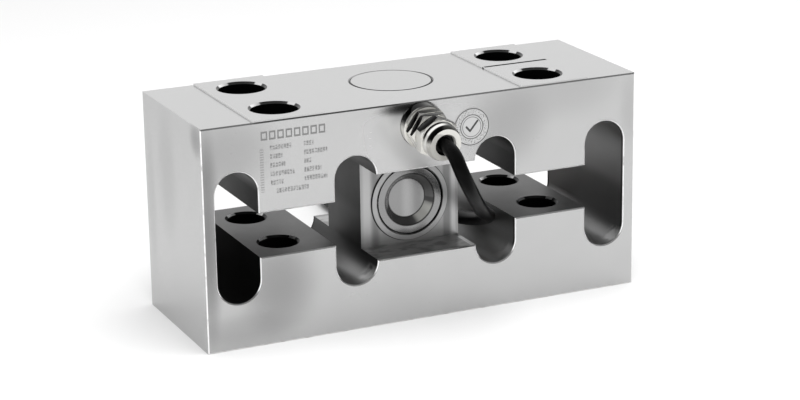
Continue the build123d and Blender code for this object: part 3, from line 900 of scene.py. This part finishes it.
@dataclass(frozen=True)
class StickerFilm:
    """A clear round film with printed rings and a plain tick."""

    name: str
    centre: Point
    radius: float = 7.0 * MM

    def build(self) -> Material:
        """Make the film.

        Returns:
            The material.
        """
        shader = Shader(self.name)
        x, _, z = shader.coordinates(self.centre)
        reach = x.reach(z) / self.radius
        speckle = shader.noise(0.45 * MM, 2.0).step(0.5, 0.62)
        rings = reach.band(0.96, 0.05, 0.02) + reach.band(0.63, 0.045, 0.02) + reach.band(0.52, 0.03, 0.02)
        rings = rings.smaller(1.0)
        tick = self._stroke(x, z, (-2.1, 0.1), (-0.7, -1.5))
        tick = tick.larger(self._stroke(x, z, (-0.7, -1.5), (2.3, 2.0)))
        print_mask = reach.band(0.79, 0.26, 0.04) * speckle
        return shader.finish(
            Base_Color=shader.layers(0.60, (print_mask * 0.8, 0.16), (rings, 0.10), (tick, 0.03)),
            Metallic=0.8 - tick * 0.8,
            Roughness=0.30 + rings * 0.15,
            Coat_Weight=0.4,
            Coat_Roughness=0.12,
        )

    @staticmethod
    def _stroke(x: Value, z: Value, start: tuple[float, float], end: tuple[float, float]) -> Value:
        """Draw one straight stroke with round ends.

        Args:
            x: The coordinate across.
            z: The coordinate up.
            start: Its start in millimetres.
            end: Its end in millimetres.

        Returns:
            The stroke's mask.
        """
        run, rise = end[0] - start[0], end[1] - start[1]
        length = math.hypot(run, rise)
        across = x - start[0] * MM
        up = z - start[1] * MM
        along = (across * (run / length) + up * (rise / length)).larger(0.0).smaller(length * MM)
        return (across - along * (run / length)).reach(up - along * (rise / length)).rise(0.42, 0.34)


class Piece:
    """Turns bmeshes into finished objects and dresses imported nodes."""

    @staticmethod
    def place(name: str, mesh: BMesh, material: Material, slot: str) -> bpy.types.Object:
        """Make an object of a bmesh and let it ride on the body.

        Args:
            name: The object's name.
            mesh: The finished bmesh, which is freed.
            material: Its material.
            slot: Not used.

        Returns:
            The object.
        """
        data = bpy.data.meshes.new(name)
        mesh.to_mesh(data)
        mesh.free()
        data.materials.append(material)
        obj = stand(name, data)
        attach(obj, BODY)
        LOG.info("piece %s: %d faces", name, len(data.polygons))
        return obj

    @staticmethod
    def dress(nodes: Nodes, names: tuple[str, ...], material: Material) -> None:
        """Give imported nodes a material.

        Args:
            nodes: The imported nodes.
            names: The names of those to dress.
            material: Their material.
        """
        for name in names:
            data = nodes[name].data
            data.materials.clear()
            data.materials.append(material)
            LOG.info("dressed %s", name)

    @classmethod
    def dress_all(cls, nodes: Nodes, finishes: dict[tuple[str, ...], object]) -> None:
        """Dress groups of nodes, each with its own finish."""
        for names, finish in finishes.items():
            cls.dress(nodes, names, finish.build())


@dataclass
class GlandFrame:
    """The gland's own axes: Z points out of the body along the cable."""

    seat: Vector = field(default_factory=lambda: Vector((-1.7, -28.7127, 73.1809)) * MM)
    tilt: float = GLAND_TILT

    def matrix(self) -> Matrix:
        """Give the matrix from the gland's frame to the model's."""
        turn = Matrix.Rotation(math.pi / 2 + self.tilt, 4, "X")
        return Matrix.Translation(self.seat) @ turn


@dataclass
class Gland:
    """The gland: body with grooved hexagon and threaded nose, and the domed cap nut."""

    nodes: Nodes
    frame: GlandFrame = field(default_factory=GlandFrame)
    flats: float = 14.0
    wall: float = 1.2
    edge: float = 0.2
    foot: float = 0.985
    lean: tuple[float, float] = (0.503, 0.864)
    sharp: float = 0.25
    smooth: float = math.radians(24.0)
    body_hexagons: Outline = ((4.7, 7.8), (8.15, 10.9))
    nut_hexagon: tuple[float, float] = (11.7, 15.7)
    nut_turn: float = math.radians(35.0)
    body_outline: Outline = (
        (3.1, -8.0), (4.9, -8.0), (4.9, 1.0), (8.2, 1.0), (8.2, 4.25), (7.75, 4.7), (6.65, 4.7),
        (6.65, 10.9), (5.9, 10.9), (5.6, 11.1), (5.9, 11.3), (5.6, 11.5), (5.9, 11.7), (5.9, 16.1),
        (5.0, 16.1), (5.0, 11.3), (3.1, 11.3),
    )
    nut_outline: Outline = (
        (6.0, 11.75), (6.5, 11.75), (6.5, 15.6), (6.8, 15.7), (6.6, 19.8), (5.9, 21.3), (4.0, 21.3),
        (3.5, 20.7), (3.5, 19.7), (4.0, 19.7), (6.0, 16.5),
    )
    shoulder: int = 4
    shoulder_round: float = 0.75
    plated: tuple[bpy.types.Object, ...] = ()

    def _turned(self, outline: Outline, rounded: int | None = None) -> BMesh:
        """Turn a closed half section about the gland's axis.

        Args:
            outline: Its corners as radius and height in millimetres.
            rounded: The number of a corner that gets the dome's round.

        Returns:
            The turned piece.
        """
        mesh = bmesh.new()
        corners = [mesh.verts.new((radius * MM, 0.0, height * MM)) for radius, height in outline]
        for start, end in zip(corners, corners[1:] + corners[:1]):
            mesh.edges.new((start, end))
        if rounded is not None:
            bmesh.ops.bevel(
                mesh, geom=[corners[rounded]], offset=self.shoulder_round * MM, segments=6,
                profile=0.5, affect="VERTICES", material=-1,
            )
        bmesh.ops.spin(
            mesh, geom=mesh.verts[:] + mesh.edges[:], cent=(0.0, 0.0, 0.0), axis=(0.0, 0.0, 1.0),
            angle=2 * math.pi, steps=72, use_merge=True, use_duplicate=False,
        )
        return mesh

    def _hexagon(self, low: float, high: float, turn: float) -> BMesh:
        """Make a hexagonal collar with its corners cut back and its edges broken.

        Args:
            low: Its lower height in millimetres.
            high: Its upper height in millimetres.
            turn: Its turn about the axis.

        Returns:
            The collar, with its broken edges on the second material.
        """
        mesh = bmesh.new()
        corner = self.flats / math.sqrt(3.0)
        spin = Matrix.Rotation(turn + math.radians(30.0), 4, "Z")
        place = Matrix.Translation((0.0, 0.0, (low + high) / 2 * MM)) @ spin
        bmesh.ops.create_cone(
            mesh, cap_ends=True, cap_tris=False, segments=6, radius1=corner * MM, radius2=corner * MM,
            depth=(high - low) * MM, matrix=place,
        )
        caps = [face for face in mesh.faces if abs(face.normal.z) > 0.9]
        for cap in caps:
            bmesh.ops.inset_region(mesh, faces=[cap], thickness=self.wall * MM)
        bmesh.ops.delete(mesh, geom=caps, context="FACES_ONLY")
        rims = [edge for edge in mesh.edges if edge.is_boundary]
        bmesh.ops.bridge_loops(mesh, edges=rims)
        for number in range(6):
            angle = turn + math.radians(60.0 * number)
            spoke = Vector((math.cos(angle), math.sin(angle), 0.0))
            for height, sign in ((low, -1.0), (high, 1.0)):
                foot = spoke * (self.flats / 2 * self.foot) * MM + Vector((0.0, 0.0, height * MM))
                lean = spoke * self.lean[0] + Vector((0.0, 0.0, sign * self.lean[1]))
                cut = bmesh.ops.bisect_plane(
                    mesh, geom=mesh.verts[:] + mesh.edges[:] + mesh.faces[:], plane_co=foot, plane_no=lean,
                    clear_outer=True, dist=0.0001 * MM,
                )
                edges = [piece for piece in cut["geom_cut"] if isinstance(piece, bmesh.types.BMEdge)]
                bmesh.ops.edgeloop_fill(mesh, edges=edges)
        bmesh.ops.recalc_face_normals(mesh, faces=mesh.faces[:])
        sharp = [edge for edge in mesh.edges if edge.is_manifold and edge.calc_face_angle(0.0) > self.sharp]
        broken = bmesh.ops.bevel(
            mesh, geom=sharp, offset=self.edge * MM, segments=2, profile=0.5, affect="EDGES",
            material=-1, clamp_overlap=True,
        )
        for face in broken["faces"]:
            face.material_index = 1
        return mesh

    def _joined(self, name: str, parts: list[BMesh]) -> BMesh:
        """Join parts and bring them into the model's frame.

        Args:
            name: The start of the names of the meshes that carry the parts.
            parts: The parts, which are freed.

        Returns:
            The joined bmesh, shaded smooth between its sharp edges.
        """
        whole = bmesh.new()
        for part in parts:
            data = bpy.data.meshes.new(name + "_part")
            part.to_mesh(data)
            part.free()
            whole.from_mesh(data)
            bpy.data.meshes.remove(data)
        bmesh.ops.recalc_face_normals(whole, faces=whole.faces[:])
        bmesh.ops.transform(whole, matrix=self.frame.matrix(), verts=whole.verts[:])
        for face in whole.faces:
            face.smooth = True
        for edge in whole.edges:
            edge.smooth = edge.calc_face_angle(0.0) < self.smooth
        return whole

    def build(self) -> None:
        """Make the body and the nut, and dress the rubber, the claw and the seal ring."""
        plated = GlandPlating("nickel_plate").build()
        # The broken edges take a less metallic copy of the plating, which paints them as bright highlight
        # lines.
        bright = Plated("nickel_edges", (0.66, 0.65, 0.63), 0.3, 0.4).build()
        parts = [self._turned(self.body_outline)]
        parts += [self._hexagon(low, high, 0.0) for low, high in self.body_hexagons]
        body = Piece.place("gland_body_plated", self._joined("gland_body_plated", parts), plated, "nickel")
        body.data.materials.append(bright)
        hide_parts("gland_body")
        nut_hexagon = self._hexagon(*self.nut_hexagon, self.nut_turn)
        parts = [self._turned(self.nut_outline, self.shoulder), nut_hexagon]
        nut = Piece.place("gland_nut_plated", self._joined("gland_nut_plated", parts), plated, "nickel")
        nut.data.materials.append(bright)
        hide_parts("gland_cap_nut")
        self.plated = (body, nut)
        rubber = Polymer("black_seal_rubber", grey(0.008), 0.55, gloss=0.3).build()
        claw = Polymer("black_nylon", (0.025, 0.025, 0.026), 0.40).build()
        Piece.dress(self.nodes, ("gland_seal_ring", "gland_rubber_seal"), rubber)
        Piece.dress(self.nodes, ("gland_clamping_claw",), claw)


@dataclass
class CableRoute:
    """The cable's line: out of the gland, through the third slot, round the hank and over it."""

    free: tuple[Point, ...] = (
        (-1.7, -48.122, 70.453), (-1.7, -55.846, 69.367), (-1.0, -60.6, 63.0), (3.1, -58.6, 56.0),
        (10.2, -49.2, 47.6), (19.0, -37.0, 39.0), (29.6, -22.0, 32.0), (31.0, -4.2, 25.6),
        (28.4, 13.6, 23.0), (26.8, 31.0, 22.0), (21.8, 44.0, 17.0), (16.6, 56.4, 10.6),
        (14.2, 69.2, 5.4), (16.4, 81.6, 3.9), (20.0, 93.0, 3.9),
    )
    end: tuple[Point, ...] = (
        (19.9, 82.0, 9.0), (20.0, 92.0, 11.4), (21.2, 101.2, 14.4), (24.9, 111.2, 16.1),
        (31.2, 120.8, 16.1), (40.9, 126.4, 16.1), (51.8, 126.0, 16.1), (59.8, 119.6, 16.1),
        (62.5, 109.8, 16.1), (61.7, 100.4, 16.1), (61.7, 90.0, 16.1),
    )
    hank_x: float = 46.0
    hank_y: float = 88.0
    straight: float = 41.0
    radii: tuple[float, ...] = (26.3, 21.0, 15.7)
    low: float = 3.8
    high: float = 9.1
    bend_steps: int = 6

    def _bend(self, back: bool, start: tuple[float, float], stop: tuple[float, float]) -> Iterator[Point]:
        """Go round one bend of the hank, clockwise from above.

        Args:
            back: Whether it is the back bend.
            start: The radius and height at its start.
            stop: The radius and height at its end.

        Yields:
            The bend's points in millimetres.
        """
        step = math.pi / self.bend_steps
        side = 1 if back else -1
        for number in range(self.bend_steps):
            share = (number + 0.5) / self.bend_steps
            turn = math.pi - step * (number + 0.5)
            radius = (start[0] + (stop[0] - start[0]) * share) / math.cos(step / 2)
            height = start[1] + (stop[1] - start[1]) * share
            yield (
                self.hank_x + side * radius * math.cos(turn),
                self.hank_y + side * (self.straight / 2 + radius * math.sin(turn)),
                height,
            )

    def _run(self, left: bool, radius: float, start: float, stop: float) -> Iterator[Point]:
        """Go along one straight side of the hank.

        Args:
            left: Whether it is the left side, where the cable runs away from the body.
            radius: The distance from the hank's middle line.
            start: The height at its start.
            stop: The height at its end.

        Yields:
            Two points in millimetres.
        """
        side = -1 if left else 1
        for share, height in ((-0.25, start), (0.25, stop)):
            yield (self.hank_x + side * radius, self.hank_y - side * share * self.straight, height)

    def _turns(self) -> Iterator[Point]:
        """Wind the bottom layer inwards and the top layer outwards.

        Yields:
            The turns' points in millimetres.
        """
        outer, middle, inner = self.radii
        low, high = self.low, self.high
        for now, after in ((outer, middle), (middle, inner)):
            if now != outer:
                yield from self._run(True, now, low, low)
            yield from self._bend(True, (now, low), (now, low))
            yield from self._run(False, now, low, low)
            yield from self._bend(False, (now, low), (after, low))
        yield from self._run(True, inner, low, low)
        yield from self._bend(True, (inner, low), (inner, low))
        yield from self._run(False, inner, low + 0.8, high - 0.8)
        yield from self._bend(False, (inner, high), (inner, high))
        for now, after in ((inner, middle), (middle, outer)):
            yield from self._run(True, now, high, high)
            yield from self._bend(True, (now, high), (after, high))
            yield from self._run(False, after, high, high)
            yield from self._bend(False, (after, high), (after, high))

    def points(self) -> list[Point]:
        """Give the whole line's control points in metres."""
        line = [*self.free, *self._turns(), *self.end]
        return [tuple(c * MM for c in point) for point in line]


@dataclass
class SensorCable:
    """The cable, its hank and its stripped end."""

    nodes: Nodes
    gland: Gland
    route: CableRoute = field(default_factory=CableRoute)
    radius: float = 2.6 * MM
    length: float = 1.4

    def _line(self, material: Material) -> bpy.types.Object:
        """Draw the cable along its route.

        Args:
            material: The sheath's material.

        Returns:
            The cable's curve object.
        """
        curve = bpy.data.curves.new("sensor_cable_sheath", "CURVE")
        curve.dimensions = "3D"
        curve.bevel_depth = self.radius
        curve.bevel_resolution = 8
        curve.resolution_u = 8
        curve.use_fill_caps = True
        points = self.route.points()
        spline = curve.splines.new("NURBS")
        spline.points.add(len(points) - 1)
        for target, place in zip(spline.points, points):
            target.co = (*place, 1.0)
        spline.order_u = 3
        spline.use_endpoint_u = True
        curve.materials.append(material)
        return stand("sensor_cable_sheath", curve)

    def build(self) -> None:
        """Lay the cable, and dress its ties, sleeve and leads."""
        sheath = Polymer("cable_sheath", grey(0.0015), 0.30, 0.5 * MM, 0.003 * MM, 0.06).build()
        cable = self._line(sheath)
        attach(cable, BODY)
        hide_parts("sensor_cable", "cable_hank", "cable_end")
        Piece.dress(self.nodes, ("cable_tail",), sheath)
        leads = {
            "lead_red": (0.42, 0.02, 0.015),
            "lead_black": (0.015, 0.015, 0.016),
            "lead_green": (0.02, 0.20, 0.05),
            "lead_white": (0.72, 0.72, 0.70),
        }
        finishes = {
            ("cable_end_sleeve",): Polymer("shrink_sleeve", (0.02, 0.02, 0.021), 0.38),
            ("hank_front_tie", "hank_back_tie"): Polymer("tie_nylon", (0.03, 0.03, 0.031), 0.42),
            **{(name,): Polymer(f"{name}_skin", colour, 0.4) for name, colour in leads.items()},
            ("screen_wire",): Plated("tinned_strand", (0.62, 0.55, 0.46), roughness=0.3),
        }
        Piece.dress_all(self.nodes, finishes)
        names = [name for group in finishes for name in group]
        names += ["cable_tail", "gland_seal_ring", "gland_clamping_claw", "gland_rubber_seal"]
        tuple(self.route.points()[0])
        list(self.gland.plated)


@dataclass
class SpringBody:
    """The machined body with its covers and its sticker."""

    nodes: Nodes

    def build(self) -> None:
        """Dress the body, the covers and the sticker."""
        low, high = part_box("inspection_sticker")
        finishes = {
            ("load_cell_body",): BodySteel("body_steel"),
            # The covers' darker grey is painted shade of their recess.
            ("front_gauge_cover", "rear_gauge_cover"): CoverSteel("cover_steel", grey(0.30), 0.20),
            ("top_cavity_cover",): DiscSteel("disc_steel", grey(0.56), 0.24, 0.3 * MM, Axis.Y),
            ("inspection_sticker",): StickerFilm("sticker_film", tuple((low + high) / 2)),
        }
        Piece.dress_all(self.nodes, finishes)


@dataclass
class InnerParts:
    """The gauges, the board and the wires inside the body."""

    nodes: Nodes

    def build(self) -> None:
        """Dress the inner pieces."""
        gauges = tuple(f"{s}_strain_gauge_{d}" for s in ("front", "rear") for d in ("left", "right"))
        wires = ("front_bridge_wires", "rear_bridge_wires", "inner_wires")
        finishes = {
            gauges: Polymer("gauge_film", (0.45, 0.20, 0.04), 0.3),
            ("compensation_board",): Polymer("solder_mask", (0.02, 0.12, 0.04), 0.25),
            ("board_adhesive_pad",): Polymer("adhesive_foam", (0.6, 0.6, 0.57), 0.8),
            ("trim_resistors",): Polymer("resistor_body", (0.02, 0.02, 0.022), 0.35),
            ("solder_posts",): Plated("gilt_posts", (0.75, 0.55, 0.22), roughness=0.22),
            ("front_terminal_strip", "rear_terminal_strip"): Polymer(
                "strip_laminate", (0.40, 0.30, 0.08), 0.4
            ),
            wires: Polymer("wire_varnish", (0.42, 0.03, 0.02), 0.25),
        }
        Piece.dress_all(self.nodes, finishes)


@dataclass
class Studio:
    """The white floor, the soft lamps and the camera."""

    target_height: float = 40.75 * MM
    azimuth: float = math.radians(-24.4661)
    elevation: float = math.radians(17.0797)
    roll: float = math.radians(-0.8944)
    shift_right: float = 2.8398 * MM
    shift_up: float = -4.1193 * MM
    distance: float = 905.5701 * MM
    focal_pixels: float = 2453.9243
    frame_width: int = 800
    room_dark: float = 0.42
    room_light: float = 1.02
    air: float = 0.6
    floor_tone: float = 0.78
    floor_seen: float = 0.89

    def _camera(self) -> None:
        """Stand the camera where the photograph was taken."""
        level = math.cos(self.elevation)
        back = Vector(
            (math.sin(self.azimuth) * level, -math.cos(self.azimuth) * level, math.sin(self.elevation))
        )
        right = Vector((math.cos(self.azimuth), math.sin(self.azimuth), 0.0))
        up = back.cross(right)
        across = right * math.cos(self.roll) + up * math.sin(self.roll)
        upward = up * math.cos(self.roll) - right * math.sin(self.roll)
        eye = Vector((0, 0, self.target_height)) + across * self.shift_right
        eye += upward * self.shift_up + back * self.distance
        data = bpy.data.cameras.new("photo_camera")
        data.sensor_width = 36.0
        data.lens = self.focal_pixels / self.frame_width * data.sensor_width
        data.clip_start = 0.05
        data.clip_end = 20.0
        camera = stand("photo_camera", data)
        turn = Matrix((across, upward, back)).transposed().to_4x4()
        camera.matrix_world = Matrix.Translation(eye) @ turn
        bpy.context.scene.camera = camera

    def _floor(self) -> None:
        """Lay the white floor."""
        mesh = bmesh.new()
        bmesh.ops.create_grid(mesh, x_segments=1, y_segments=1, size=6.0)
        data = bpy.data.meshes.new("white_floor")
        mesh.to_mesh(data)
        mesh.free()
        shader = Shader("floor_white")
        seen = shader.value("ShaderNodeLightPath", "Is Camera Ray")
        shader.finish(
            Base_Color=shader.mix(seen, self.floor_tone, self.floor_seen),
            Roughness=0.9,
            Specular_IOR_Level=0.1,
        )
        data.materials.append(shader.material)
        floor = stand("white_floor", data)

    def _lamp(self, name: str, place: Point, aim: Point, size: tuple[float, float], watts: float) -> None:
        """Hang one soft lamp.

        Args:
            name: The lamp's name.
            place: Where it hangs, in metres.
            aim: The point that it faces.
            size: Its width and height.
            watts: Its power.
        """
        data = bpy.data.lights.new(name, "AREA")
        data.shape = "RECTANGLE"
        data.size, data.size_y = size
        data.energy = watts
        lamp = stand(name, data)
        lamp.visible_glossy = False
        lamp.location = place
        lamp.rotation_euler = (Vector(place) - Vector(aim)).to_track_quat("Z", "Y").to_euler()

    def _world(self) -> None:
        """Light the scene evenly, with a darker room behind the camera for the metal to reflect."""
        world = bpy.data.worlds.new("studio_air")
        world.use_nodes = True
        graph = Graph(world.node_tree)
        camera = graph.value("ShaderNodeLightPath", "Is Camera Ray")
        mirrored = graph.value("ShaderNodeLightPath", "Is Glossy Ray").larger(
            graph.value("ShaderNodeLightPath", "Is Transmission Ray")
        )
        direction = graph.node("ShaderNodeTexCoord").outputs["Generated"]
        ahead = Value(graph, graph.node("ShaderNodeSeparateXYZ", None, {0: direction}).outputs["Y"])
        room = self.room_dark + ahead.step(-0.15, 0.35) * (self.room_light - self.room_dark)
        strength = camera + (1.0 - camera) * (mirrored * room + (1.0 - mirrored) * self.air)
        background = graph.node(
            "ShaderNodeBackground", None, {"Color": (1.0, 1.0, 1.0, 1.0), "Strength": strength}
        )
        graph.node("ShaderNodeOutputWorld", None, {"Surface": background.outputs[0]})
        bpy.context.scene.world = world

    def build(self) -> None:
        """Set up the floor, the world, the lamps and the camera."""
        bpy.context.scene.view_settings.view_transform = "Standard"
        self._floor()
        self._world()
        self._lamp("top_softbox", (0.1, -0.25, 1.2), (0.0, -0.05, 0.0), (1.2, 1.2), 13.0)
        self._lamp("front_softbox", (-0.5, -1.3, 0.7), (0.0, 0.0, 0.04), (0.9, 0.7), 7.0)
        self._camera()


def main() -> None:
    """Load the frame, build each sub-assembly and report it."""
    logging.basicConfig(level=logging.INFO, format="%(name)s: %(message)s")
    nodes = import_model()["nodes"]
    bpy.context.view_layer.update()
    Studio().build()
    gland = Gland(nodes)
    for assembly in (SpringBody(nodes), gland, SensorCable(nodes, gland), InnerParts(nodes)):
        assembly.build()
        LOG.info("built %s", type(assembly).__name__)


if __name__ == "__main__":
    main()
